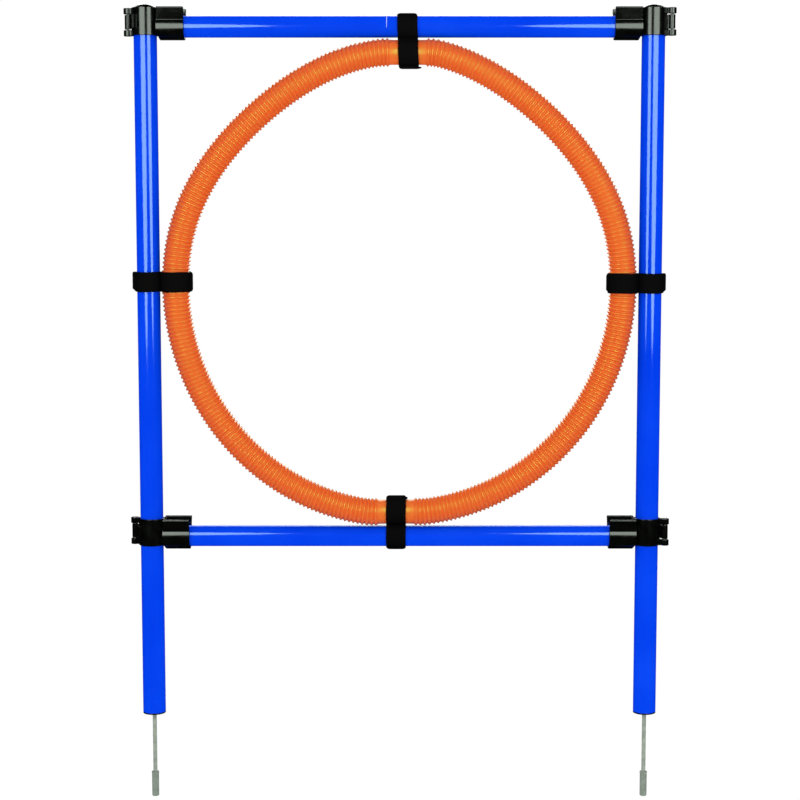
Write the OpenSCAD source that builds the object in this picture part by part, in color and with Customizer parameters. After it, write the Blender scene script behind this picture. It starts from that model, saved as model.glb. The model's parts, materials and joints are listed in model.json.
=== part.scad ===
// Agility ring jump: two staked posts carry two bars in open clip cradles, and a ribbed hose ring
// is strapped between them. The front faces -Y, +Z is up, and the origin is on the ground line
// midway between the posts.

/* [Frame] */
// Distance between the axes of the two posts
post_spacing = 720; // [660:1:800]
// Height of the lower bar's axis above the ground line
lower_bar_h = 263; // [150:1:400]
// Distance between the axes of the two bars
bar_spacing = 730; // [660:1:820]

/* [Posts] */
// Outer diameter of a post tube
post_d = 33; // [28:0.5:40]
// Wall of a post tube
post_wall = 1.6; // [1:0.1:3]
// Thickness of the rim of a cap or foot plug, which seats on the end of the tube
plug_rim = 2; // [1:0.5:4]
// Depth to which a cap or foot plug enters the tube
plug_depth = 30; // [12:1:60]
// Wall of the hollow skirt of a cap
cap_wall = 1.8; // [1:0.1:3]
// Rise of a cap's dome above its rim
cap_dome_h = 5.5; // [2:0.5:8]

/* [Ground spikes] */
// Diameter of a spike's rod
spike_d = 6; // [4:0.5:10]
// Diameter of a spike's shank, inside the foot plug
spike_shank_d = 7; // [5:0.5:12]
// How much thinner a spike is inside its guard
guard_seat_step = 0.4; // [0.2:0.1:1]
// Length of a spike below the foot plug
spike_len = 123; // [80:1:200]
// Length of a spike's point
spike_point = 12; // [5:1:25]
// Diameter of a spike's flat end
spike_tip_d = 1.6; // [0.5:0.1:3]
// Diameter of the head that holds a spike in its foot plug
spike_head_d = 12; // [9:0.5:20]
// Thickness of that head
spike_head_h = 2.5; // [1:0.5:5]
// Outer diameter of the guard on a spike's point
guard_d = 9.4; // [8:0.1:14]
// Length of a guard
guard_len = 37; // [20:1:60]
// Closed end of a guard
guard_floor = 3; // [1:0.5:6]
// Diameter of the rim at a guard's mouth
guard_rim_d = 11; // [9:0.1:16]
// Height of that rim
guard_rim_h = 2.5; // [1:0.5:5]

/* [Clips] */
// Wall of a clip's collar around the post
collar_wall = 2.4; // [1.5:0.1:4]
// Height of the collar
collar_h = 39.2; // [30:0.1:60]
// How far the collar reaches below the bar's axis
collar_drop = 12.8; // [5:0.1:20]
// Wall of the cradle under the bar
cradle_wall = 3.4; // [2:0.1:5]
// Length of the cradle along the bar
cradle_len = 37; // [25:1:60]
// Wall between the collar and the end of the bar
cradle_end_wall = 3; // [2:0.5:6]
// Depth of the corner cut off the cradle beside the post
cradle_corner = 2.5; // [1:0.5:8]
// Share of the cradle's wall that is left at its neck, where the round wall ends and a lip begins
neck_share = 0.4; // [0.2:0.02:0.9]
// How far each lip leans out above the neck
lip_flare = 5.2; // [0:0.1:8]
// Height of the edge that leans back in at the top of a lip
lip_edge_h = 1.4; // [1:0.1:5]
// How far that edge leans back in
lip_edge_in = 0.6; // [0.2:0.1:2]

/* [Clip levers] */
// Diameter of the pin that a lever turns on
pin_d = 3; // [2:0.1:5]
// Direction of the pin seen from the post's axis, with the bar at zero
pin_angle = 165; // [155:1:175]
// Diameter of a lever's barrel
barrel_d = 8.8; // [7:0.1:12]
// Space between the barrel and the collar
barrel_gap = 2.8; // [1.5:0.1:5]
// Height of a lever
lever_h = 20; // [14:0.5:26]
// Space above and below a lever, between the ears
lever_gap = 1.2; // [0.4:0.1:3]
// Thickness of a lever's arm
lever_t = 2.6; // [1.5:0.1:4]
// Angle that a lever's arm covers on the collar
lever_sweep = 66; // [60:1:90]
// Height of the finger lip at a lever's end
finger_lip = 2.6; // [1:0.1:5]
// Width of the rim of an ear around the pin
ear_rim = 4.4; // [2:0.1:6]

/* [Bars] */
// Outer diameter of a bar tube
bar_d = 30.5; // [25:0.5:36]
// Wall of a bar tube
bar_wall = 1.5; // [1:0.1:3]
// Length of the drawn-in end that joins the two tubes of a bar
spigot_len = 36; // [20:1:80]

/* [Ring hose] */
// Diameter of the hose over its ribs
hose_d = 38.5; // [34:0.5:46]
// Height of a rib
rib_h = 1.25; // [0.6:0.05:2.5]
// Diameter of the smooth cuff at each end of a hose
cuff_d = 35; // [32:0.5:42]
// Length of cuff that shows beside its strap
cuff_show = 11.5; // [4:0.5:25]
// Wall of the hose under its ribs
hose_wall = 1.5; // [0.8:0.1:3]
// Ribs on each of the two hoses
rib_count = 100; // [20:1:100]
// Sag of the upper shoulders of the ring
shoulder_sag = 16; // [0:1:25]
// Place of the upper hose joint to the right of the middle
top_joint_x = 12; // [-20:1:20]
// Place of the lower hose joint to the right of the middle
bottom_joint_x = -5; // [-20:1:20]
// Length of a coupler inside each cuff
coupler_reach = 30; // [15:1:36]
// Wall of a coupler
coupler_wall = 2; // [1:0.1:4]
// Thickness of the stop ring between the two hose ends
coupler_stop = 2; // [1:0.5:5]

/* [Straps] */
// Width of a strap
strap_w = 29; // [15:1:40]
// Thickness of a strap
strap_t = 2.4; // [1:0.1:3]
// Space that a strap's crossing takes between a tube and the hose
strap_web = 3; // [2.4:0.1:6]
// Angle that a strap's overlapping end covers on each of its two loops
overlap_sweep = 120; // [40:1:170]

/* [Fits] */
// Clearance of a sliding clip on its post
slide_gap = 0.15; // [0.05:0.05:0.5]
// Clearance of soft pieces and of bars in their cradles
soft_gap = 0.3; // [0.1:0.05:0.6]
// Clearance of pressed pieces
press_gap = 0.03; // [0:0.01:0.1]
// Clearance of turning and telescoping pieces
running_gap = 0.08; // [0.02:0.01:0.2]

/* [Hidden] */
// Names of the four corners: lower or upper, left or right
CORNERS = ["lower_left", "lower_right", "upper_left", "upper_right"];

// Colours
BLUE = "#0a55f0";
BLACK = "#1b1c1a";
STRAP_BLACK = "#0e0e0e";
ORANGE = "#e9682c";
STEEL = "#b4bab2";
GUARD_GREY = "#a9b0a6";

$fn = 96;
// Run of every cut past the face that it opens
overrun = 1;

// Radii and heights that follow from the driving sizes
post_r = post_d / 2;
post_bore_r = post_r - post_wall;
bar_r = bar_d / 2;
bar_bore_r = bar_r - bar_wall;
upper_bar_h = lower_bar_h + bar_spacing;
collar_top = collar_h - collar_drop;
post_top = upper_bar_h + collar_top - plug_rim;
left = -1;
right = 1;

// Clip: the bar runs along +X from the post's axis, and heights count from the bar's axis
collar_bore_r = post_r + slide_gap;
collar_r = collar_bore_r + collar_wall;
channel_r = bar_r + soft_gap;
cradle_r = channel_r + cradle_wall;
cradle_end = collar_r + cradle_len;
channel_start = collar_r + cradle_end_wall;
lip_start = collar_r - collar_wall / 2;
neck_half = channel_r + neck_share * cradle_wall;
neck_h = sqrt(cradle_r * cradle_r - neck_half * neck_half);
lip_half = neck_half + lip_flare;
lip_edge_low = collar_top - lip_edge_h;
lip_foot = neck_half - neck_h * lip_flare / (lip_edge_low - neck_h);
bar_start = channel_start + soft_gap;
bar_half = post_spacing / 2 - bar_start;

// Lever: a barrel on the pin, an arm round the collar and a pad in the collar's window
pin_r = pin_d / 2;
barrel_r = barrel_d / 2;
pin_dist = collar_r + barrel_gap + barrel_r;
ear_r = pin_r + ear_rim;
ear_h = (collar_h - lever_h) / 2 - lever_gap;
lever_z = ear_h + lever_gap - collar_drop;
arm_gap = 2 * soft_gap;
arm_r = collar_r + arm_gap;
pad_share = 0.66;
pad_start_share = 0.2;
window_slack = 6;
lip_sweep_share = 0.1;
ear_web_share = 0.6;
pad_from = pin_angle + pad_start_share * lever_sweep;
pad_to = pad_from + pad_share * lever_sweep;
arm_to = pin_angle + lever_sweep;

// Ring: the hose's centre line fills the frame but for the strap crossings
rib_r = hose_d / 2;
root_r = rib_r - rib_h;
cuff_r = cuff_d / 2;
hose_bore_r = min(root_r, cuff_r) - hose_wall;
hose_sides = 8;
cuff_len = strap_w / 2 + cuff_show;
ring_h = lower_bar_h + bar_spacing / 2;
ring_half_w = post_spacing / 2 - post_r - strap_web - rib_r;
ring_half_h = bar_spacing / 2 - bar_r - strap_web - cuff_r;
// A share of the hose's length, short enough to take its direction from
step_share = 0.0005;
bore_steps = 50;
coupler_r = hose_bore_r * cos(180 / hose_sides) - running_gap;
stop_r = hose_bore_r + hose_wall / 2;

// Straps
waist_share = 0.62;
hose_bow = strap_w * strap_w / (8 * min(ring_half_w, ring_half_h));

// Plane shape between two radii and two angles, with the angles under half a turn apart
module sector(inner, outer, from, to) {
    middle = (from + to) / 2;
    reach = 2 * outer;
    intersection() {
        difference() {
            circle(r = outer);
            circle(r = inner);
        }
        polygon([
            [0, 0],
            [reach * cos(from), reach * sin(from)],
            [reach * cos(middle), reach * sin(middle)],
            [reach * cos(to), reach * sin(to)]
        ]);
    }
}

// Pipe along Z
module pipe(outer, inner, length) {
    difference() {
        cylinder(r = outer, h = length);
        translate([0, 0, -overrun])
            cylinder(r = inner, h = length + 2 * overrun);
    }
}

// Posts
module at_post(side) {
    translate([side * post_spacing / 2, 0, 0])
        children();
}

module post_tube(side) {
    color(BLUE)
        at_post(side)
            translate([0, 0, plug_rim])
                pipe(post_r, post_bore_r, post_top - plug_rim);
}

module post_cap(side) {
    dome_r = (post_r * post_r + cap_dome_h * cap_dome_h) / (2 * cap_dome_h);
    color(BLACK)
        at_post(side)
            translate([0, 0, post_top]) {
                cylinder(r = post_r, h = plug_rim);
                translate([0, 0, plug_rim])
                    rotate_extrude()
                        intersection() {
                            translate([0, cap_dome_h - dome_r])
                                circle(r = dome_r);
                            square([post_r, cap_dome_h]);
                        }
                translate([0, 0, -plug_depth])
                    pipe(post_bore_r - press_gap, post_bore_r - press_gap - cap_wall, plug_depth);
            }
}

module foot_plug(side) {
    color(BLACK)
        at_post(side)
            difference() {
                union() {
                    cylinder(r = post_r, h = plug_rim);
                    cylinder(r = post_bore_r - press_gap, h = plug_rim + plug_depth);
                }
                translate([0, 0, -overrun])
                    cylinder(r = spike_shank_d / 2 + press_gap, h = plug_rim + plug_depth + 2 * overrun);
            }
}

// Ground spikes: a headed shank in the plug, a bare rod and a thinner pointed seat for the guard
guard_mouth = spike_len + guard_floor - guard_len;
guard_seat_r = spike_d / 2 - guard_seat_step / 2;

module spike(side) {
    color(STEEL)
        at_post(side) {
            translate([0, 0, -spike_len])
                cylinder(r1 = spike_tip_d / 2, r2 = guard_seat_r, h = spike_point);
            translate([0, 0, spike_point - spike_len])
                cylinder(r = guard_seat_r, h = spike_len - spike_point - guard_mouth);
            translate([0, 0, -guard_mouth])
                cylinder(r = spike_d / 2, h = guard_mouth);
            cylinder(r = spike_shank_d / 2, h = plug_rim + plug_depth);
            translate([0, 0, plug_rim + plug_depth])
                cylinder(r = spike_head_d / 2, h = spike_head_h);
        }
}

module spike_guard(side) {
    color(GUARD_GREY)
        at_post(side)
            translate([0, 0, -spike_len - guard_floor])
                difference() {
                    union() {
                        cylinder(r = guard_d / 2, h = guard_len);
                        translate([0, 0, guard_len - guard_rim_h])
                            cylinder(r = guard_rim_d / 2, h = guard_rim_h);
                    }
                    translate([0, 0, guard_floor])
                        cylinder(r = guard_seat_r + running_gap, h = guard_len);
                }
}

// Clips: a left clip as drawn, a right one turned half way round
module at_corner(corner) {
    side = search([corner], CORNERS)[0] % 2 == 0 ? left : right;
    height = search([corner], CORNERS)[0] < 2 ? lower_bar_h : upper_bar_h;
    translate([side * post_spacing / 2, 0, height])
        rotate([0, 0, side == left ? 0 : 180])
            children();
}

// Plane shape across the bar: the channel that the bar is laid into, open at the top
module channel_outline() {
    circle(r = channel_r);
    translate([-channel_r, 0])
        square([2 * channel_r, collar_top + overrun]);
}

// Plane shape across the bar: both lips, which lean out from the neck to their edges
module lip_outline() {
    polygon([
        [-lip_foot, 0],
        [-lip_half, lip_edge_low],
        [lip_edge_in - lip_half, collar_top],
        [lip_half - lip_edge_in, collar_top],
        [lip_half, lip_edge_low],
        [lip_foot, 0]
    ]);
}

// Extrusion of a plane shape across the bar, from one distance along the bar to another
module along_bar(from, to) {
    translate([from, 0, 0])
        rotate([90, 0, 90])
            linear_extrude(height = to - from)
                children();
}

// Plane shape of an ear: a knuckle round the pin, on a narrower web from the collar
module ear_outline() {
    web = 2 * ear_web_share * ear_r;
    rotate(pin_angle) {
        translate([pin_dist, 0])
            circle(r = ear_r);
        translate([collar_bore_r, -web / 2])
            square([pin_dist - collar_bore_r, web]);
    }
}

module clip(corner) {
    color(BLACK)
        at_corner(corner)
            difference() {
                union() {
                    translate([0, 0, -collar_drop])
                        cylinder(r = collar_r, h = collar_h);
                    along_bar(collar_bore_r, cradle_end)
                        circle(r = cradle_r);
                    along_bar(lip_start, cradle_end)
                        lip_outline();
                    translate([0, 0, -collar_drop])
                        linear_extrude(height = ear_h)
                            ear_outline();
                    translate([0, 0, collar_top - ear_h])
                        linear_extrude(height = ear_h)
                            ear_outline();
                }
                post_bore();
                along_bar(channel_start, cradle_end + overrun)
                    channel_outline();
                cradle_corner_cut();
                lever_window();
                pin_bore();
            }
}

module post_bore() {
    translate([0, 0, -cradle_r - overrun])
        cylinder(r = collar_bore_r, h = cradle_r + collar_top + 2 * overrun);
}

// Slanted cut below the collar, where the cradle's round bottom comes up to the post
module cradle_corner_cut() {
    rotate([90, 0, 0])
        linear_extrude(height = 2 * cradle_r + 2 * overrun, center = true)
            polygon([
                [collar_bore_r - overrun, -collar_drop],
                [collar_r, -collar_drop],
                [collar_r + cradle_corner, -cradle_r - overrun],
                [collar_bore_r - overrun, -cradle_r - overrun]
            ]);
}

module lever_window() {
    translate([0, 0, lever_z - soft_gap])
        linear_extrude(height = lever_h + 2 * soft_gap)
            sector(collar_bore_r - overrun, collar_r + overrun, pad_from - window_slack, pad_to + window_slack);
}

module pin_bore() {
    rotate(pin_angle)
        translate([pin_dist, 0, -collar_drop - overrun])
            cylinder(r = pin_r + press_gap, h = collar_h + 2 * overrun);
}

module lever_pin(corner) {
    color(STEEL)
        at_corner(corner)
            rotate(pin_angle)
                translate([pin_dist, 0, -collar_drop])
                    cylinder(r = pin_r, h = collar_h);
}

module lever_outline() {
    neck_w = barrel_r;
    sector(arm_r, arm_r + lever_t, pin_angle, arm_to);
    sector(post_r + soft_gap, arm_r + lever_t / 2, pad_from, pad_to);
    sector(arm_r, arm_r + lever_t + finger_lip, arm_to - lip_sweep_share * lever_sweep, arm_to);
    rotate(pin_angle) {
        translate([pin_dist, 0])
            circle(r = barrel_r);
        translate([arm_r + lever_t / 2, 0])
            square([pin_dist - arm_r - lever_t / 2, neck_w]);
    }
}

module lever(corner) {
    color(BLACK)
        at_corner(corner)
            difference() {
                translate([0, 0, lever_z])
                    linear_extrude(height = lever_h)
                        lever_outline();
                rotate(pin_angle)
                    translate([pin_dist, 0, lever_z - overrun])
                        cylinder(r = pin_r + running_gap, h = lever_h + 2 * overrun);
            }
}

// Bars: two tubes of one length, joined by the left one's drawn-in end
bar_joint_x = -spigot_len / 2;
spigot_r = bar_bore_r - running_gap;
spigot_bore_r = spigot_r - bar_wall;

module bar_left_tube(height) {
    color(BLUE)
        translate([0, 0, height])
            rotate([0, 90, 0])
                rotate_extrude()
                    polygon([
                        [bar_bore_r, -bar_half],
                        [bar_r, -bar_half],
                        [bar_r, bar_joint_x],
                        [spigot_r, bar_joint_x],
                        [spigot_r, bar_joint_x + spigot_len],
                        [spigot_bore_r, bar_joint_x + spigot_len],
                        [spigot_bore_r, bar_joint_x],
                        [bar_bore_r, bar_joint_x - bar_wall]
                    ]);
}

module bar_right_tube(height) {
    color(BLUE)
        translate([bar_joint_x, 0, height])
            rotate([0, 90, 0])
                pipe(bar_r, bar_bore_r, bar_half - bar_joint_x);
}

// Ring hose: lengths run along one half of the centre line, from the upper joint to the lower one.
// Each end runs straight for one hose diameter, and x counts outwards from the ring's middle.
function flat_angle(side, joint_x) = asin((hose_d + side * joint_x) / ring_half_w);
function top_angle(side) = flat_angle(side, top_joint_x);
function bottom_angle(side) = flat_angle(side, bottom_joint_x);
function curve_sweep(side) = 180 - top_angle(side) - bottom_angle(side);
function curve_len(side) = curve_sweep(side) / 360 * PI * (ring_half_w + ring_half_h);
function half_len(side) = 2 * hose_d + curve_len(side);
function sag(angle) = angle < 90 ? shoulder_sag * pow(sin(2 * angle), 2) : 0;

// Height of an unsagged curve that meets the straight end at the given angle
function rise(angle) = (ring_half_h + sag(angle)) / cos(angle);

// Point of the ring's curved stretch at an angle from its top, as [x, z] about the ring's middle
function curve_point(side, angle) = [
    ring_half_w * sin(angle),
    rise(angle < 90 ? top_angle(side) : bottom_angle(side)) * cos(angle) - sag(angle)
];

function hose_point(side, s) =
    s < hose_d
        ? [side * top_joint_x + s, ring_half_h]
        : s < hose_d + curve_len(side)
            ? curve_point(side, top_angle(side) + curve_sweep(side) * (s - hose_d) / curve_len(side))
            : [side * bottom_joint_x + half_len(side) - s, -ring_half_h];

function unit(v) = v / norm(v);

// Ring of points round the centre line, as a list of [x, y, z]
function hose_ring(side, s, radius) =
    let (
        step = step_share * half_len(side),
        middle = hose_point(side, s),
        along = unit(hose_point(side, s + step) - hose_point(side, s - step)),
        out = [-along[1], along[0]]
    )
    [
        for (i = [0 : hose_sides - 1])
            let (turn = (i + 0.5) * 360 / hose_sides)
            [
                side * (middle[0] + radius * cos(turn) * out[0]),
                radius * sin(turn),
                ring_h + middle[1] + radius * cos(turn) * out[1]
            ]
    ];

// Stations of the outer skin as [length, radius]: a cuff, the ribs and a cuff
function skin_stations(side) =
    let (
        end = half_len(side),
        pitch = (end - 2 * cuff_len) / rib_count,
        crest_share = 0.25,
        root_share = 0.75
    )
    concat(
        [[coupler_stop / 2, cuff_r], [cuff_len, cuff_r]],
        [
            for (i = [0 : rib_count - 1], k = [[crest_share, rib_r], [root_share, root_r]])
                [cuff_len + (i + k[0]) * pitch, k[1]]
        ],
        [[end - cuff_len, cuff_r], [end - coupler_stop / 2, cuff_r]]
    );

function bore_stations(side) =
    let (length = half_len(side) - coupler_stop)
    [for (i = [0 : bore_steps]) [coupler_stop / 2 + i / bore_steps * length, hose_bore_r]];

// Triangles that join ring a to ring b, each a number of points into the list
function strip(a, b) = [
    for (i = [0 : hose_sides - 1], face = let (j = (i + 1) % hose_sides)
        [[a + i, b + i, b + j], [a + i, b + j, a + j]])
        face
];

function turned(faces) = [for (face = faces) [face[2], face[1], face[0]]];

module hose(side) {
    skin = skin_stations(side);
    bore = bore_stations(side);
    points = [
        for (station = concat(skin, bore), point = hose_ring(side, station[0], station[1]))
            point
    ];
    first_bore = len(skin);
    last_bore = first_bore + len(bore) - 1;
    faces = concat(
        [for (i = [0 : len(skin) - 2], face = strip(i * hose_sides, (i + 1) * hose_sides)) face],
        [
            for (i = [first_bore : last_bore - 1], face = strip((i + 1) * hose_sides, i * hose_sides))
                face
        ],
        strip(first_bore * hose_sides, 0),
        strip((first_bore - 1) * hose_sides, last_bore * hose_sides)
    );
    color(ORANGE)
        polyhedron(points = points, faces = side == right ? faces : turned(faces), convexity = 10);
}

// Coupler inside the two cuffs of a joint, with a stop ring between the hose ends
module hose_coupler(joint_x, height) {
    color(BLACK)
        translate([joint_x, 0, height])
            rotate([0, 90, 0])
                difference() {
                    union() {
                        cylinder(r = coupler_r, h = 2 * coupler_reach, center = true);
                        cylinder(r = stop_r, h = coupler_stop, center = true);
                    }
                    cylinder(r = coupler_r - coupler_wall, h = 2 * coupler_reach + 2 * overrun, center = true);
                }
}

// Straps: a loop round a tube at the origin and a loop round the hose along +X, crossing between
// them, with a second layer where the ends overlap on the far side of each loop
module strap(tube_r, hose_r, distance, bow) {
    tube_in = tube_r + soft_gap;
    hose_in = hose_r + soft_gap + bow;
    tube_out = tube_in + strap_t;
    hose_out = hose_in + strap_t;
    waist = waist_share * tube_out;
    color(STRAP_BLACK)
        linear_extrude(height = strap_w, center = true)
            difference() {
                union() {
                    circle(r = tube_out);
                    rotate(180)
                        overlap(tube_out);
                    translate([distance, 0]) {
                        circle(r = hose_out);
                        overlap(hose_out);
                    }
                    translate([0, -waist])
                        square([distance, 2 * waist]);
                }
                circle(r = tube_in);
                translate([distance, 0])
                    circle(r = hose_in);
            }
}

// Second layer on a loop, bedded half a thickness deep in the first one
module overlap(loop_r) {
    sector(loop_r - strap_t / 2, loop_r + strap_t, -overlap_sweep / 2, overlap_sweep / 2);
}

module side_strap(side) {
    at_post(side)
        translate([0, 0, ring_h])
            rotate([0, 0, side == left ? 0 : 180])
                strap(post_r, rib_r, post_r + strap_web + rib_r, hose_bow);
}

// Strap on a bar, with its hose loop towards the ring's middle
module bar_strap(joint_x, height, towards) {
    translate([joint_x, 0, height])
        rotate([0, -90 * towards, 0])
            strap(bar_r, cuff_r, bar_r + strap_web + cuff_r, 0);
}

post_tube(left);  // left_post_tube
post_tube(right);  // right_post_tube
post_cap(left);  // left_post_cap
post_cap(right);  // right_post_cap
foot_plug(left);  // left_foot_plug
foot_plug(right);  // right_foot_plug
spike(left);  // left_spike
spike(right);  // right_spike
spike_guard(left);  // left_spike_guard
spike_guard(right);  // right_spike_guard
clip("lower_left");  // lower_left_clip
clip("lower_right");  // lower_right_clip
clip("upper_left");  // upper_left_clip
clip("upper_right");  // upper_right_clip
lever("lower_left");  // lower_left_lever
lever("lower_right");  // lower_right_lever
lever("upper_left");  // upper_left_lever
lever("upper_right");  // upper_right_lever
lever_pin("lower_left");  // lower_left_lever_pin
lever_pin("lower_right");  // lower_right_lever_pin
lever_pin("upper_left");  // upper_left_lever_pin
lever_pin("upper_right");  // upper_right_lever_pin
bar_left_tube(upper_bar_h);  // upper_bar_left_tube
bar_right_tube(upper_bar_h);  // upper_bar_right_tube
bar_left_tube(lower_bar_h);  // lower_bar_left_tube
bar_right_tube(lower_bar_h);  // lower_bar_right_tube
hose(left);  // left_hose
hose(right);  // right_hose
hose_coupler(top_joint_x, ring_h + ring_half_h);  // top_hose_coupler
hose_coupler(bottom_joint_x, ring_h - ring_half_h);  // bottom_hose_coupler
bar_strap(top_joint_x, upper_bar_h, -1);  // top_strap
bar_strap(bottom_joint_x, lower_bar_h, 1);  // bottom_strap
side_strap(left);  // left_strap
side_strap(right);  // right_strap
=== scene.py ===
import json
import math

import bmesh
import bpy
from mathutils import Matrix, Vector


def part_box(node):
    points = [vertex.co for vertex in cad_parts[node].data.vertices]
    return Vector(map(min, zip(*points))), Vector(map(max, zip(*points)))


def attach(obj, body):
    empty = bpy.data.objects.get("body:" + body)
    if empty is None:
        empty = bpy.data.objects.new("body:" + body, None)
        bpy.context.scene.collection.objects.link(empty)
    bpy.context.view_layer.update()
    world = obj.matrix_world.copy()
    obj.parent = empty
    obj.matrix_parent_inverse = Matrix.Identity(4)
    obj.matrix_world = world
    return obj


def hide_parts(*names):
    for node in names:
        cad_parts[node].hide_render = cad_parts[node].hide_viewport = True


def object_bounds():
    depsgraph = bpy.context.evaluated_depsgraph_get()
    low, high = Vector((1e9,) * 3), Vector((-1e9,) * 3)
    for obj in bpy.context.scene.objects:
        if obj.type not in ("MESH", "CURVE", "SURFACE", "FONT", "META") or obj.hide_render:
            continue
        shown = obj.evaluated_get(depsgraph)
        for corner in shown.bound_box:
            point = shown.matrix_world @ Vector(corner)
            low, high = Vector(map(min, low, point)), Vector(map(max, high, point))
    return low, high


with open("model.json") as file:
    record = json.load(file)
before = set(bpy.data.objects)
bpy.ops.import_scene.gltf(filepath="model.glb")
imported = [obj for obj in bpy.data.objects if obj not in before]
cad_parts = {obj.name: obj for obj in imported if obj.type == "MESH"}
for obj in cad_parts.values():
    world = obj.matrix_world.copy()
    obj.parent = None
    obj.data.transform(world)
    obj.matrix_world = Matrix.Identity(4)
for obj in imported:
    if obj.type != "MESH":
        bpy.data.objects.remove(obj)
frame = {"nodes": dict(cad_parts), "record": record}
cad_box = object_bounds()
scene = bpy.context.scene

MM = 0.001
SIDES = {"left": -1, "right": 1}
FRONT = Vector((0, -1, 0))


def middle(node):
    low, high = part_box(node)
    return (Vector(low) + Vector(high)) / 2


def extent(node):
    low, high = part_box(node)
    return Vector(high) - Vector(low)


# Sizes that the frame gives
POST_X = middle("right_post_tube").x
POST_R = extent("right_post_tube").x / 2
BAR_R = extent("upper_bar_left_tube").z / 2
TOP_JOINT = middle("top_hose_coupler")
BOTTOM_JOINT = middle("bottom_hose_coupler")
RING_Z = (TOP_JOINT.z + BOTTOM_JOINT.z) / 2
RING_HALF_H = (TOP_JOINT.z - BOTTOM_JOINT.z) / 2

# Hose sizes
HOSE_D = 38.5 * MM
RIB_CREST_R = 20.1 * MM
RIB_ROOT_R = 17.7 * MM
RIB_PITCH = 5.95 * MM
RIB_WIDTH_SHARE = 0.9
CUFF_R = 17.5 * MM
CUFF_LEN = 26 * MM
HOSE_BORE_R = 16 * MM
HOSE_END_GAP = 1 * MM
HOSE_SIDES = 40
SHOULDER_SAG = 16 * MM
BEND_SMOOTHING = 9 * MM
PATH_STEP = 1 * MM

# Strap sizes
STRAP_W = 28.5 * MM
STRAP_T = 1.7 * MM
STRAP_GAP = 0.4 * MM
STRAP_WEB = 3 * MM
STRAP_EDGE_R = 0.6 * MM
STRAP_STEP = 0.5 * MM
STRAP_DIP = 5 * MM
STRAP_SMOOTHING = 1.2 * MM
STRAP_WANDER = 0.25 * MM
STRAP_WANDER_REACH = 7 * MM
LEFT_STRAP_LIFT = 4.5 * MM
RIGHT_STRAP_LIFT = 2.3 * MM
TOP_STRAP_SHIFT = -1.2 * MM
RING_HALF_W = POST_X - POST_R - STRAP_WEB - HOSE_D / 2


# Materials
def srgb(red, green, blue):
    """A linear colour from the 0 to 255 values of a screen colour."""
    def linear(value):
        share = value / 255
        return share / 12.92 if share <= 0.04045 else ((share + 0.055) / 1.055) ** 2.4
    return (linear(red), linear(green), linear(blue), 1)


def add_node(tree, kind, sockets=None, **settings):
    node = tree.nodes.new(kind)
    for name, value in settings.items():
        setattr(node, name, value)
    for name, value in (sockets or {}).items():
        if isinstance(value, bpy.types.NodeSocket):
            tree.links.new(value, node.inputs[name])
        else:
            node.inputs[name].default_value = value
    return node


def new_material(name, **constants):
    material = bpy.data.materials.new(name)
    material.use_nodes = True
    tree = material.node_tree
    shader = tree.nodes["Principled BSDF"]
    for socket, value in constants.items():
        shader.inputs[socket.replace("_", " ")].default_value = value
    return material, tree, shader


def object_coords(tree, scale):
    coords = add_node(tree, "ShaderNodeTexCoord")
    mapping = add_node(tree, "ShaderNodeMapping", {"Vector": coords.outputs["Object"], "Scale": scale})
    return mapping.outputs["Vector"]


def noise(tree, vector, scale, detail=3.0, roughness=0.55):
    node = add_node(tree, "ShaderNodeTexNoise", {
        "Vector": vector, "Scale": scale, "Detail": detail, "Roughness": roughness,
    })
    return node.outputs["Fac"]


def even_noise(tree, scale):
    """Noise of the same size in all directions."""
    return noise(tree, object_coords(tree, (1, 1, 1)), scale)


def ramp(tree, fac, stops):
    node = add_node(tree, "ShaderNodeValToRGB", {"Fac": fac})
    elements = node.color_ramp.elements
    while len(elements) < len(stops):
        elements.new(0.5)
    for element, (place, colour) in zip(elements, stops):
        element.position = place
        element.color = colour
    return node.outputs["Color"]


def span(tree, fac, low, high):
    """A value that runs from low to high as fac goes from 0.3 to 0.7."""
    node = add_node(tree, "ShaderNodeMapRange", {
        "Value": fac, "From Min": 0.3, "From Max": 0.7, "To Min": low, "To Max": high,
    })
    return node.outputs["Result"]


def mixed(tree, fac, first, second):
    node = add_node(tree, "ShaderNodeMix", {"Factor": fac}, data_type="RGBA")
    for socket, value in ((node.inputs[6], first), (node.inputs[7], second)):
        if isinstance(value, bpy.types.NodeSocket):
            tree.links.new(value, socket)
        else:
            socket.default_value = value
    return node.outputs[2]


def bump(tree, shader, height, strength, distance):
    node = add_node(tree, "ShaderNodeBump", {"Height": height, "Strength": strength, "Distance": distance})
    tree.links.new(node.outputs["Normal"], shader.inputs["Normal"])


def attribute(tree, name):
    return add_node(tree, "ShaderNodeAttribute", attribute_name=name).outputs["Fac"]


def tube_blue(name, along):
    """Glossy blue plastic, with faint drawing lines along the tube."""
    material, tree, shader = new_material(name, Specular_IOR_Level=0.76, Specular_Tint=(0.62, 1, 1, 1))
    streak_scale = tuple(4 if axis == along else 420 for axis in "xyz")
    streaks = noise(tree, object_coords(tree, streak_scale), 1.0)
    clouds = even_noise(tree, 9.0)
    plain = ramp(tree, clouds, [(0.3, srgb(0, 61, 234)), (0.7, srgb(1, 71, 244))])
    lined = mixed(tree, span(tree, streaks, 0.0, 0.16), plain, srgb(0, 48, 216))
    tree.links.new(lined, shader.inputs["Base Color"])
    tree.links.new(span(tree, clouds, 0.07, 0.11), shader.inputs["Roughness"])
    bump(tree, shader, streaks, 0.05, 0.2 * MM)
    return material


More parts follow.
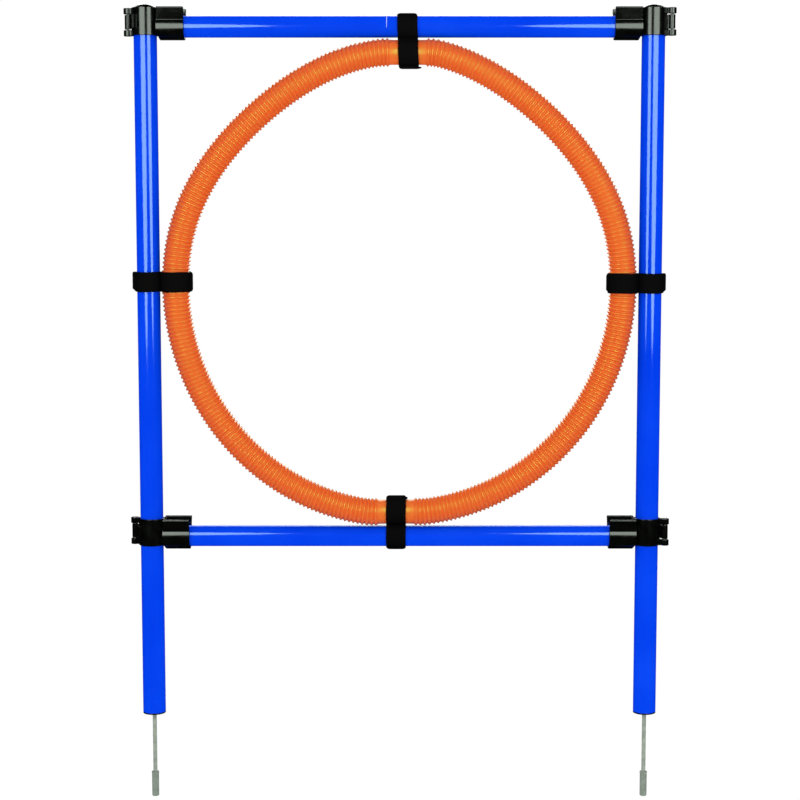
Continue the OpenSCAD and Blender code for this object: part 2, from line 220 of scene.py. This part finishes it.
def clip_black():
    """Near-black moulded plastic with slightly uneven faces and gloss."""
    material, tree, shader = new_material(
        "clip_black", Specular_IOR_Level=0.6, Specular_Tint=(0.88, 1, 0.88, 1),
    )
    sinks = even_noise(tree, 130.0)
    clouds = even_noise(tree, 60.0)
    colour = ramp(tree, clouds, [(0.3, srgb(3, 4, 3)), (0.7, srgb(8, 9, 7))])
    tree.links.new(colour, shader.inputs["Base Color"])
    tree.links.new(span(tree, clouds, 0.13, 0.21), shader.inputs["Roughness"])
    bump(tree, shader, sinks, 0.12, 0.5 * MM)
    return material


def strap_black():
    """Matt black webbing: ribs along the band and loops across it."""
    material, tree, shader = new_material("strap_black", Roughness=0.9, Specular_IOR_Level=0.06)
    weave = add_node(tree, "ShaderNodeCombineXYZ", {
        "X": attribute(tree, "along"), "Y": attribute(tree, "across"),
    }).outputs["Vector"]
    yarns = add_node(tree, "ShaderNodeTexWave", {
        "Vector": weave, "Scale": 130.0, "Distortion": 1.5, "Detail": 2.0, "Detail Scale": 2.0,
    }, bands_direction="DIAGONAL").outputs["Fac"]
    fluff = noise(tree, weave, 1800.0, 4.0)
    colour = ramp(tree, fluff, [(0.35, srgb(1, 1, 1)), (0.75, srgb(9, 9, 8))])
    tree.links.new(colour, shader.inputs["Base Color"])
    height = add_node(tree, "ShaderNodeMath", {0: yarns, 1: fluff}, operation="ADD").outputs["Value"]
    bump(tree, shader, height, 0.35, 0.25 * MM)
    return material


def hose_orange():
    """Orange plastic, duller in the grooves and with a yellow sheen on the crests. Its colour holds painted
    shade, darker and redder in the grooves, and a painted highlight, paler on the crests.
    """
    material, tree, shader = new_material(
        "hose_orange", IOR=1.75, Specular_IOR_Level=1.0,
        Subsurface_Weight=0.6, Subsurface_Radius=(1, 0.6, 0.4), Subsurface_Scale=2 * MM,
    )
    clouds = even_noise(tree, 14.0)
    flow = even_noise(tree, 420.0)
    # Painted shade and highlight: a darker, redder colour in the grooves and a paler one on the crests,
    # mixed by rib height.
    groove = mixed(tree, clouds, srgb(240, 92, 43), srgb(244, 98, 47))
    crest = mixed(tree, clouds, srgb(238, 112, 46), srgb(242, 118, 50))
    rib = attribute(tree, "rib")
    colour = mixed(tree, rib, groove, crest)
    tree.links.new(colour, shader.inputs["Base Color"])
    matt_grooves = add_node(tree, "ShaderNodeMapRange", {
        "Value": rib, "From Min": 0.25, "From Max": 0.9, "To Min": 0.38, "To Max": 0.22,
    }).outputs["Result"]
    sheen = ramp(tree, rib, [(0.3, (0.1, 0.45, 0.06, 1)), (0.85, (0.24, 1, 0.14, 1))])
    tree.links.new(sheen, shader.inputs["Specular Tint"])
    uneven = span(tree, flow, 0.0, 0.06)
    roughness = add_node(tree, "ShaderNodeMath", {0: matt_grooves, 1: uneven}, operation="ADD")
    tree.links.new(roughness.outputs["Value"], shader.inputs["Roughness"])
    bump(tree, shader, flow, 0.03, 0.1 * MM)
    return material


def spike_steel():
    """Dull zinc-plated steel with fine lines along the rod and a few darker patches."""
    material, tree, shader = new_material("spike_steel", Metallic=0.1, Specular_IOR_Level=0.5)
    lines = noise(tree, object_coords(tree, (2400, 2400, 30)), 1.0)
    patches = even_noise(tree, 120.0)
    colour = ramp(tree, patches, [(0.3, srgb(140, 151, 138)), (0.7, srgb(172, 183, 168))])
    tree.links.new(colour, shader.inputs["Base Color"])
    tree.links.new(span(tree, lines, 0.35, 0.5), shader.inputs["Roughness"])
    bump(tree, shader, lines, 0.1, 0.05 * MM)
    return material


def guard_grey():
    """Soft greenish grey plastic."""
    material, tree, shader = new_material("guard_grey", Specular_IOR_Level=0.35)
    clouds = even_noise(tree, 160.0)
    colour = ramp(tree, clouds, [(0.3, srgb(122, 133, 121)), (0.7, srgb(139, 151, 138))])
    tree.links.new(colour, shader.inputs["Base Color"])
    tree.links.new(span(tree, clouds, 0.42, 0.55), shader.inputs["Roughness"])
    bump(tree, shader, clouds, 0.08, 0.2 * MM)
    return material


def painted_edge_glint():
    """Pale colour painted as the highlight on the joint edge of the blue tube."""
    material, tree, shader = new_material("painted_edge_glint", Specular_IOR_Level=0.4, Roughness=0.5)
    # Uneven brightness of the painted highlight.
    glint_tone = even_noise(tree, 900.0)
    colour = ramp(tree, glint_tone, [(0.3, srgb(150, 185, 250)), (0.7, srgb(222, 234, 255))])
    tree.links.new(colour, shader.inputs["Base Color"])
    return material


MATERIALS = {
    "tube_upright": tube_blue("tube_blue_upright", "z"),
    "tube_level": tube_blue("tube_blue_level", "x"),
    "clip_black": clip_black(),
    "strap_black": strap_black(),
    "hose_orange": hose_orange(),
    "spike_steel": spike_steel(),
    "guard_grey": guard_grey(),
    # Painted highlight on the joint edge of the upper bar.
    "painted_edge_glint": painted_edge_glint(),
}


def dress(obj, material):
    obj.data.materials.clear()
    obj.data.materials.append(MATERIALS[material])


def dress_node(name):
    slot = next(part["material_slot"] for part in frame["record"]["subparts"] if part["node"] == name)
    if slot == "tube_blue":
        slot = "tube_level" if "bar" in name else "tube_upright"
    for place in frame["nodes"][name].material_slots:
        place.material = MATERIALS[slot]


WELD_REACH = 0.005 * MM
SHARP_ANGLE = math.radians(32)


def soften(name, radius):
    """Rounds the sharp edges of a CAD node."""
    node = frame["nodes"][name]
    weld = node.modifiers.new("weld", "WELD")
    weld.merge_threshold = WELD_REACH
    bevel = node.modifiers.new("soft_edges", "BEVEL")
    bevel.width = radius
    bevel.segments = 3
    bevel.limit_method = "ANGLE"
    bevel.angle_limit = SHARP_ANGLE
    bevel.use_clamp_overlap = False
    normals = node.modifiers.new("normals", "WEIGHTED_NORMAL")
    normals.mode = "FACE_AREA_WITH_ANGLE"
    normals.weight = 100
    normals.keep_sharp = False


EDGE_RADII = {"clip": 0.7 * MM, "lever": 0.6 * MM, "cap": 0.5 * MM, "foot_plug": 0.4 * MM, "tube": 0.35 * MM}

for node_name in frame["nodes"]:
    dress_node(node_name)
    for ending, edge_r in EDGE_RADII.items():
        if node_name.endswith(ending):
            soften(node_name, edge_r)


# Mesh making
def new_piece(name, vertices, faces, attributes=None, weld=False):
    mesh = bpy.data.meshes.new(name)
    mesh.from_pydata(vertices, [], faces)
    for title, values in (attributes or {}).items():
        layer = mesh.attributes.new(title, "FLOAT", "POINT")
        layer.data.foreach_set("value", values)
    work = bmesh.new()
    work.from_mesh(mesh)
    if weld:
        bmesh.ops.remove_doubles(work, verts=work.verts, dist=0.001 * MM)
    bmesh.ops.recalc_face_normals(work, faces=work.faces)
    work.to_mesh(mesh)
    work.free()
    mesh.polygons.foreach_set("use_smooth", [True] * len(mesh.polygons))
    obj = bpy.data.objects.new(name, mesh)
    scene.collection.objects.link(obj)
    return obj


def place_piece(piece, body, slot, material, *nodes):
    dress(piece, material)
    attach(piece, body)
    if nodes:
        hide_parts(*nodes)


def loft_faces(ring_count, ring_size, closed):
    faces = []
    for i in range(ring_count if closed else ring_count - 1):
        near = i * ring_size
        far = (i + 1) % ring_count * ring_size
        for j in range(ring_size):
            k = (j + 1) % ring_size
            faces.append((near + j, near + k, far + k, far + j))
    return faces


# Paths in a plane: lists of 2-D points
def lengths_along(points):
    lengths = [0.0]
    for near, far in zip(points, points[1:]):
        lengths.append(lengths[-1] + (far - near).length)
    return lengths


def resampled(points, step):
    """Evenly spaced points on the polyline, about a step apart."""
    lengths = lengths_along(points)
    count = max(2, round(lengths[-1] / step))
    spaced = []
    at = 0
    for i in range(count + 1):
        wanted = lengths[-1] * i / count
        while at < len(points) - 2 and lengths[at + 1] < wanted:
            at += 1
        gap = lengths[at + 1] - lengths[at]
        share = (wanted - lengths[at]) / gap if gap > 0 else 0.0
        spaced.append(points[at].lerp(points[at + 1], share))
    return spaced


def smoothed(points, reach, step):
    """The polyline with its corners rounded over about that reach. Its ends stay where they are."""
    spaced = resampled(points, step)
    wide = round(3 * reach / step)
    weights = [math.exp(-0.5 * (k * step / reach) ** 2) for k in range(-wide, wide + 1)]
    first, last = spaced[0], spaced[-1]
    before = [2 * first - spaced[min(k, len(spaced) - 1)] for k in range(wide, 0, -1)]
    after = [2 * last - spaced[max(-1 - k, -len(spaced))] for k in range(1, wide + 1)]
    padded = before + spaced + after
    total = sum(weights)
    rounded = []
    for i in range(len(spaced)):
        mean = Vector((0, 0))
        for weight, point in zip(weights, padded[i:i + 2 * wide + 1]):
            mean += weight * point
        rounded.append(mean / total)
    return rounded


def directions(points):
    """Unit tangents of the polyline."""
    tangents = []
    for i in range(len(points)):
        tangents.append((points[min(i + 1, len(points) - 1)] - points[max(i - 1, 0)]).normalized())
    return tangents


def at_length(points, lengths, wanted):
    """Point and tangent at a length along the polyline, which has even steps."""
    step = lengths[-1] / (len(points) - 1)
    i = min(max(int(wanted / step), 0), len(points) - 2)
    share = (wanted - lengths[i]) / (lengths[i + 1] - lengths[i])
    return points[i].lerp(points[i + 1], share), (points[i + 1] - points[i]).normalized()


# Ring hose
def hose_path(side):
    """Centre line of one half of the ring, from the upper joint to the lower one, as (x, z) points."""
    top_angle = math.asin((HOSE_D + side * TOP_JOINT.x) / RING_HALF_W)
    bottom_angle = math.asin((HOSE_D + side * BOTTOM_JOINT.x) / RING_HALF_W)

    def sag(angle):
        return SHOULDER_SAG * math.sin(2 * angle) ** 2 if angle < math.pi / 2 else 0.0

    def rise(angle):
        return (RING_HALF_H + sag(angle)) / math.cos(angle)

    points = [Vector((TOP_JOINT.x, TOP_JOINT.z))]
    turns = 400
    for i in range(turns + 1):
        angle = top_angle + (math.pi - top_angle - bottom_angle) * i / turns
        height = rise(top_angle if angle < math.pi / 2 else bottom_angle)
        x = side * RING_HALF_W * math.sin(angle)
        points.append(Vector((x, RING_Z + height * math.cos(angle) - sag(angle))))
    points.append(Vector((BOTTOM_JOINT.x, BOTTOM_JOINT.z)))
    return smoothed(points, BEND_SMOOTHING, PATH_STEP)


def rib_rise(share):
    """Height of a rib, from 0 in the groove to 1 on the crest, at a share of its pitch."""
    off = abs(share - 0.5) / (RIB_WIDTH_SHARE / 2)
    return (1 + math.cos(math.pi * off)) / 2 if off < 1 else 0.0


def hose_stations(length):
    """Stations of the skin as (length, radius, rib height), then of the bore, back to the start."""
    flank_shares = (-1, -0.8, -0.6, -0.4, -0.2, 0, 0.2, 0.4, 0.6, 0.8, 1)
    rib_share_steps = [0.0] + [0.5 + RIB_WIDTH_SHARE / 2 * share for share in flank_shares]
    ribbed = length - 2 * CUFF_LEN
    count = round(ribbed / RIB_PITCH)
    pitch = ribbed / count
    round_in = 0.6 * MM
    cuff_rib = 0.5
    skin = [
        (HOSE_END_GAP, CUFF_R - round_in, cuff_rib),
        (HOSE_END_GAP + round_in, CUFF_R, cuff_rib),
        (CUFF_LEN - RIB_PITCH / 3, CUFF_R, cuff_rib),
    ]
    for rib in range(count):
        for share in rib_share_steps:
            height = rib_rise(share)
            radius = RIB_ROOT_R + height * (RIB_CREST_R - RIB_ROOT_R)
            skin.append((CUFF_LEN + (rib + share) * pitch, radius, height))
    skin += [
        (length - CUFF_LEN + RIB_PITCH / 3, CUFF_R, cuff_rib),
        (length - HOSE_END_GAP - round_in, CUFF_R, cuff_rib),
        (length - HOSE_END_GAP, CUFF_R - round_in, cuff_rib),
    ]
    bore_steps = 80
    bore = []
    for i in range(bore_steps + 1):
        share = 1 - i / bore_steps
        bore.append((HOSE_END_GAP + share * (length - 2 * HOSE_END_GAP), HOSE_BORE_R, 0.0))
    return skin + bore


def make_hose(name, side):
    path = hose_path(side)
    lengths = lengths_along(path)
    stations = hose_stations(lengths[-1])
    vertices, ribs = [], []
    for length, radius, rib in stations:
        point, tangent = at_length(path, lengths, length)
        out = Vector((-tangent.y, tangent.x))
        for j in range(HOSE_SIDES):
            turn = 2 * math.pi * j / HOSE_SIDES
            flat = point + out * radius * math.cos(turn)
            vertices.append((flat.x, radius * math.sin(turn), flat.y))
            ribs.append(rib)
    faces = loft_faces(len(stations), HOSE_SIDES, True)
    piece = new_piece(f"{name}_hose_ribbed", vertices, faces, {"rib": ribs})
    piece.visible_glossy = False
    place_piece(piece, "ring_set", "hose_orange", "hose_orange", f"{name}_hose")


for hose_name, hose_side in SIDES.items():
    make_hose(hose_name, hose_side)


# Straps: a band over the front of tube and hose and one over their backs, pressed together in a
# flap beyond each of them and drawn in between them
def band_path(tube_r, hose_r, distance, tube_flap, hose_flap):
    """Middle of the front band as (x, y) points, with the tube at the origin and the hose along +x."""
    lift = STRAP_GAP + STRAP_T / 2
    tube_loop = tube_r + lift
    hose_loop = hose_r + lift
    lie = STRAP_T / 2
    points = [Vector((-tube_loop - tube_flap, lie))]
    arc_steps = 40
    start = math.pi - math.asin(lie / tube_loop)
    stop = math.asin(STRAP_DIP / tube_loop)
    for i in range(arc_steps + 1):
        angle = start + (stop - start) * i / arc_steps
        points.append(Vector((tube_loop * math.cos(angle), tube_loop * math.sin(angle))))
    start = math.pi - math.asin(STRAP_DIP / hose_loop)
    stop = math.asin(lie / hose_loop)
    for i in range(arc_steps + 1):
        angle = start + (stop - start) * i / arc_steps
        points.append(Vector((distance + hose_loop * math.cos(angle), hose_loop * math.sin(angle))))
    points.append(Vector((distance + hose_loop + hose_flap, lie)))
    return smoothed(points, STRAP_SMOOTHING, STRAP_STEP)


def band_section(half_width):
    """Outline of a band across its length, as (across, thickness) points with rounded edges."""
    half_t = STRAP_T / 2
    across_steps = 8
    arc = [math.radians(a) for a in (0, 30, 60, 90)]
    corner = half_width - STRAP_EDGE_R
    thick = half_t - STRAP_EDGE_R
    points = []
    for i in range(1, across_steps):
        points.append((corner * (1 - 2 * i / across_steps), half_t))
    for sign_a, sign_t, order in ((-1, 1, arc[::-1]), (-1, -1, arc)):
        for a in order:
            points.append((
                sign_a * (corner + STRAP_EDGE_R * math.cos(a)),
                sign_t * (thick + STRAP_EDGE_R * math.sin(a)),
            ))
    for i in range(1, across_steps):
        points.append((corner * (2 * i / across_steps - 1), -half_t))
    for sign_a, sign_t, order in ((1, -1, arc[::-1]), (1, 1, arc)):
        for a in order:
            points.append((
                sign_a * (corner + STRAP_EDGE_R * math.cos(a)),
                sign_t * (thick + STRAP_EDGE_R * math.sin(a)),
            ))
    return points


def corner_cut(from_end, cut, slant):
    """How much a band narrows near its end: a round corner, or a slanted one, of that size."""
    if from_end >= cut:
        return 0.0
    off = 1 - from_end / cut
    return cut * (off if slant else 1 - math.sqrt(max(0.0, 1 - off * off)))


NO_TAIL = (0.0, 0.0, 0.0)


def tail_reach(from_end, tail):
    """How far the corner of a band's loose tail sticks out beside it."""
    reach, near, far = tail
    if not near < from_end < far:
        return 0.0
    return reach * math.sqrt(math.sin(math.pi * (from_end - near) / (far - near)))


def band_mesh(path, corners, turn, drift, tail):
    """Vertices, faces and attributes of one band. corners gives (start, end) cuts for the edges at
    +across and -across, each as (size, slanted). The band moves across by drift along its length."""
    lengths = lengths_along(path)
    tangents = directions(path)
    section = band_section(STRAP_W / 2)
    vertices, along, across = [], [], []
    for point, tangent, length in zip(path, tangents, lengths):
        normal = Vector((-tangent.y, tangent.x))
        wander = STRAP_WANDER * math.sin(length / STRAP_WANDER_REACH + turn) + drift * length / lengths[-1]
        narrow = {}
        for edge in (1, -1):
            start_cut, end_cut = corners[edge]
            narrow[edge] = max(corner_cut(length, *start_cut), corner_cut(lengths[-1] - length, *end_cut))
        for a, t in section:
            edge = 1 if a > 0 else -1
            widen = tail_reach(lengths[-1] - length, tail) if edge == 1 else 0.0
            shrink = 1 + (widen - narrow[edge]) / (STRAP_W / 2)
            flat = point + normal * t
            vertices.append((flat.x, flat.y, a * shrink + wander))
            along.append(length)
            across.append(a)
    size = len(section)
    faces = loft_faces(len(path), size, False)
    faces.append(tuple(range(size)))
    faces.append(tuple(len(vertices) - size + i for i in range(size)))
    return vertices, faces, {"along": along, "across": across}


def make_strap(name, place, tube_r, hose_r, distance, flaps, corners, drift=0.0, tail=NO_TAIL):
    """One strap. place takes a point of the strap's own frame to the row frame."""
    front = band_path(tube_r, hose_r, distance, *flaps)
    vertices, faces, attributes = [], [], {"along": [], "across": []}
    for facing in (1, -1):
        path = [Vector((p.x, facing * p.y)) for p in front]
        band_vertices, band_faces, band_attributes = band_mesh(path, corners, facing, drift, tail)
        base = len(vertices)
        vertices += [tuple(place @ Vector(v)) for v in band_vertices]
        faces += [tuple(base + i for i in face) for face in band_faces]
        for title in attributes:
            attributes[title] += band_attributes[title]
    piece = new_piece(f"{name}_strap_webbing", vertices, faces, attributes)
    place_piece(piece, "ring_set", "strap_black", "strap_black", f"{name}_strap")


def side_strap_place(side, lift):
    """The strap's x points from the post to the ring's middle, its y to the front and its z up."""
    x_axis = Vector((-side, 0, 0))
    rotation = Matrix((x_axis, FRONT, Vector((0, 0, 1)))).transposed().to_4x4()
    return Matrix.Translation((side * POST_X, 0, RING_Z + lift)) @ rotation


def bar_strap_place(joint_x, bar_z, towards):
    """The strap's x points from the bar to the ring's middle, its y to the front and its z to the right."""
    rotation = Matrix((Vector((0, 0, towards)), FRONT, Vector((1, 0, 0)))).transposed().to_4x4()
    return Matrix.Translation((joint_x, 0, bar_z)) @ rotation


UPPER_BAR_Z = middle("upper_bar_left_tube").z
LOWER_BAR_Z = middle("lower_bar_left_tube").z
SIDE_DISTANCE = POST_R + STRAP_WEB + HOSE_D / 2
BAR_DISTANCE = BAR_R + STRAP_WEB + CUFF_R
ROUND = (4 * MM, False)
SLANT = (4.5 * MM, True)
SMALL = (2.5 * MM, False)

make_strap(
    "left", side_strap_place(-1, LEFT_STRAP_LIFT), POST_R, RIB_CREST_R, SIDE_DISTANCE, (5.2 * MM, 3.5 * MM),
    {1: (SMALL, ROUND), -1: (SLANT, ROUND)},
)
make_strap(
    "right", side_strap_place(1, RIGHT_STRAP_LIFT), POST_R, RIB_CREST_R, SIDE_DISTANCE, (4.8 * MM, 2.9 * MM),
    {1: (SMALL, ROUND), -1: (SLANT, SLANT)},
)
make_strap(
    "top", bar_strap_place(TOP_JOINT.x + TOP_STRAP_SHIFT, UPPER_BAR_Z, -1), BAR_R, CUFF_R, BAR_DISTANCE,
    (2.4 * MM, 4.6 * MM), {1: (ROUND, SMALL), -1: (ROUND, ROUND)},
    drift=2.6 * MM, tail=(4 * MM, 0.3 * MM, 3.4 * MM),
)
make_strap(
    "bottom", bar_strap_place(BOTTOM_JOINT.x, LOWER_BAR_Z, 1), BAR_R, CUFF_R, BAR_DISTANCE,
    (3.2 * MM, 4.8 * MM), {1: (ROUND, SMALL), -1: (ROUND, ROUND)},
    tail=(2.6 * MM, 2 * MM, 6 * MM),
)


# Spike guards: soft caps with a rolled rim and a rounded end
GUARD_SIDES = 32
GUARD_BORE_R = 2.9 * MM
GUARD_FLOOR = 3 * MM


def guard_profile(length, rim_r, bore_r, bore_depth):
    """Radius and height above the closed end, from the middle of that end to the middle of the bore."""
    body_r = rim_r - 0.35 * MM
    end_r = 1.8 * MM
    rim_h = 2.5 * MM
    roll = 0.5 * MM
    arc = [math.radians(a) for a in (0, 18, 36, 54, 72, 90)]
    points = [(0.0, 0.0)]
    points += [(body_r - end_r + end_r * math.sin(a), end_r - end_r * math.cos(a)) for a in arc]
    points += [
        (body_r, length - rim_h - roll),
        (rim_r - roll / 4, length - rim_h),
        (rim_r, length - rim_h + roll),
        (rim_r, length - roll),
        (rim_r - roll / 3, length - roll / 3),
        (rim_r - roll, length),
        (bore_r + roll, length),
        (bore_r, length - roll),
        (bore_r, length - bore_depth),
        (0.0, length - bore_depth),
    ]
    return points


def make_guard(name):
    low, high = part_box(f"{name}_spike_guard")
    centre = middle(f"{name}_spike_guard")
    length = high[2] - low[2]
    rim_r = (high[0] - low[0]) / 2
    profile = guard_profile(length, rim_r, GUARD_BORE_R, length - GUARD_FLOOR)
    vertices = []
    for j in range(GUARD_SIDES):
        turn = 2 * math.pi * j / GUARD_SIDES
        for radius, height in profile:
            vertices.append((centre.x + radius * math.cos(turn), radius * math.sin(turn), low[2] + height))
    size = len(profile)
    faces = []
    for j in range(GUARD_SIDES):
        near, far = j * size, (j + 1) % GUARD_SIDES * size
        for i in range(size - 1):
            faces.append((near + i, far + i, far + i + 1, near + i + 1))
    piece = new_piece(f"{name}_guard_cap", vertices, faces, weld=True)
    place_piece(piece, f"{name}_guard", "guard_grey", "guard_grey", f"{name}_spike_guard")


for guard_name in SIDES:
    make_guard(guard_name)


# Joint of the upper bar: a pale sliver painted as the highlight on the joint's edge, over the top and down
# the front
def make_bar_edge():
    joint_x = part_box("upper_bar_right_tube")[0][0]
    from_back, to_front = math.radians(-40), math.radians(100)
    steps = 28
    half_w, proud = 0.45 * MM, 0.12 * MM
    vertices = []
    for i in range(steps + 1):
        share = i / steps
        angle = from_back + (to_front - from_back) * share
        taper = math.sin(math.pi * share) ** 0.4 if 0 < share < 1 else 0.05
        for along, out in ((-1, -1), (-1, 1), (1, 1), (1, -1)):
            radius = BAR_R + out * proud
            vertices.append((
                joint_x + along * half_w * taper,
                -radius * math.sin(angle),
                UPPER_BAR_Z + radius * math.cos(angle),
            ))
    faces = loft_faces(steps + 1, 4, False)
    faces += [(0, 1, 2, 3), tuple(4 * steps + i for i in range(4))]
    piece = new_piece("upper_bar_joint_edge", vertices, faces)
    # The sliver's pale colour is a painted highlight on the joint's edge.
    place_piece(piece, "ring_set", "tube_blue", "painted_edge_glint")


make_bar_edge()


# Floor, light and camera
def make_floor():
    """A pale bowl: flat under the object and rising far round it, with room for the guards when they are
    pulled off the spikes. It lights nothing and mirrors in nothing."""
    pulled_guard = 170 * MM
    floor_z = cad_box[0][2] - pulled_guard
    flat_r, rim_r, rim_h = 4.5, 9.0, 6.0
    rings, sides = 24, 96
    vertices, faces = [(0, 0, floor_z)], []
    for i in range(rings + 1):
        share = i / rings
        radius = flat_r + (rim_r - flat_r) * math.sin(share * math.pi / 2)
        height = rim_h * (1 - math.cos(share * math.pi / 2))
        for j in range(sides):
            turn = 2 * math.pi * j / sides
            vertices.append((radius * math.cos(turn), radius * math.sin(turn), floor_z + height))
    for j in range(sides):
        faces.append((0, 1 + j, 1 + (j + 1) % sides))
    for i in range(rings):
        for j in range(sides):
            k = (j + 1) % sides
            near, far = 1 + i * sides, 1 + (i + 1) * sides
            faces.append((near + j, far + j, far + k, near + k))
    floor = new_piece("studio_floor", vertices, faces)
    material, tree, shader = new_material(
        "floor_white", Roughness=0.9, Specular_IOR_Level=0.0,
        Emission_Strength=0.96, Emission_Color=(1, 1, 1, 1),
    )
    speckle = even_noise(tree, 3.0)
    colour = ramp(tree, speckle, [(0.3, srgb(58, 58, 58)), (0.7, srgb(66, 66, 66))])
    tree.links.new(colour, shader.inputs["Base Color"])
    floor.data.materials.append(material)
    floor.visible_glossy = False
    floor.visible_diffuse = False
    floor.visible_shadow = False


def soft_light(name, shape, place, aim, width, height, radiance):
    """A flat light. Its radiance is the brightness of its face, where 1 is white on the screen."""
    light = bpy.data.lights.new(name, "AREA")
    light.shape = shape
    light.size = width
    light.size_y = height
    area = width * height * (math.pi / 4 if shape == "ELLIPSE" else 1)
    light.energy = math.pi * area * radiance
    obj = bpy.data.objects.new(name, light)
    obj.location = place
    obj.rotation_euler = (Vector(aim) - Vector(place)).to_track_quat("-Z", "Y").to_euler()
    obj.visible_camera = False
    scene.collection.objects.link(obj)
    return obj


def make_lights():
    """Softboxes in front and behind, which the object only mirrors, and fills and pale surroundings,
    which only light it."""
    box_y, box_z, box_h = -1.3, 1.06, 1.28
    box_radiance, fill_radiance = 5.8, 1.25
    for name, x, width in (("left", -0.87, 1.2), ("right", 0.93, 1.34)):
        place, aim = (x, box_y, box_z), (x, 0, box_z)
        softbox = soft_light(f"{name}_softbox", "ELLIPSE", place, aim, width, box_h, box_radiance)
        softbox.visible_diffuse = False
        fill = soft_light(f"{name}_fill", "ELLIPSE", place, aim, width, box_h, fill_radiance)
        fill.visible_glossy = False
    back_y, aim = 3.4, (0, 0, 0.5)
    softbox = soft_light("back_softbox", "RECTANGLE", (0, back_y, 2.2), aim, 2.4, 1.6, 3.7)
    softbox.visible_diffuse = False
    fill = soft_light("back_fill", "RECTANGLE", (0, back_y, 0.5), aim, 4.0, 1.6, 0.9)
    fill.visible_glossy = False
    world = bpy.data.worlds.new("studio")
    scene.world = world
    world.use_nodes = True
    background = world.node_tree.nodes["Background"]
    background.inputs["Color"].default_value = (1, 1, 1, 1)
    background.inputs["Strength"].default_value = 1.03
    world.cycles_visibility.glossy = False
    scene.view_settings.view_transform = "Standard"


def make_camera():
    """The view of the photograph, as fitted to the frame's corners."""
    lens_mm, sensor_mm = 85.03, 36
    place = (0.0009, -2.716, 0.749)
    tilt = math.radians(83.96)
    camera = bpy.data.cameras.new("camera")
    camera.lens = lens_mm
    camera.sensor_width = sensor_mm
    obj = bpy.data.objects.new("camera", camera)
    obj.location = place
    obj.rotation_euler = (tilt, 0, 0)
    scene.collection.objects.link(obj)
    scene.camera = obj


make_floor()
make_lights()
make_camera()
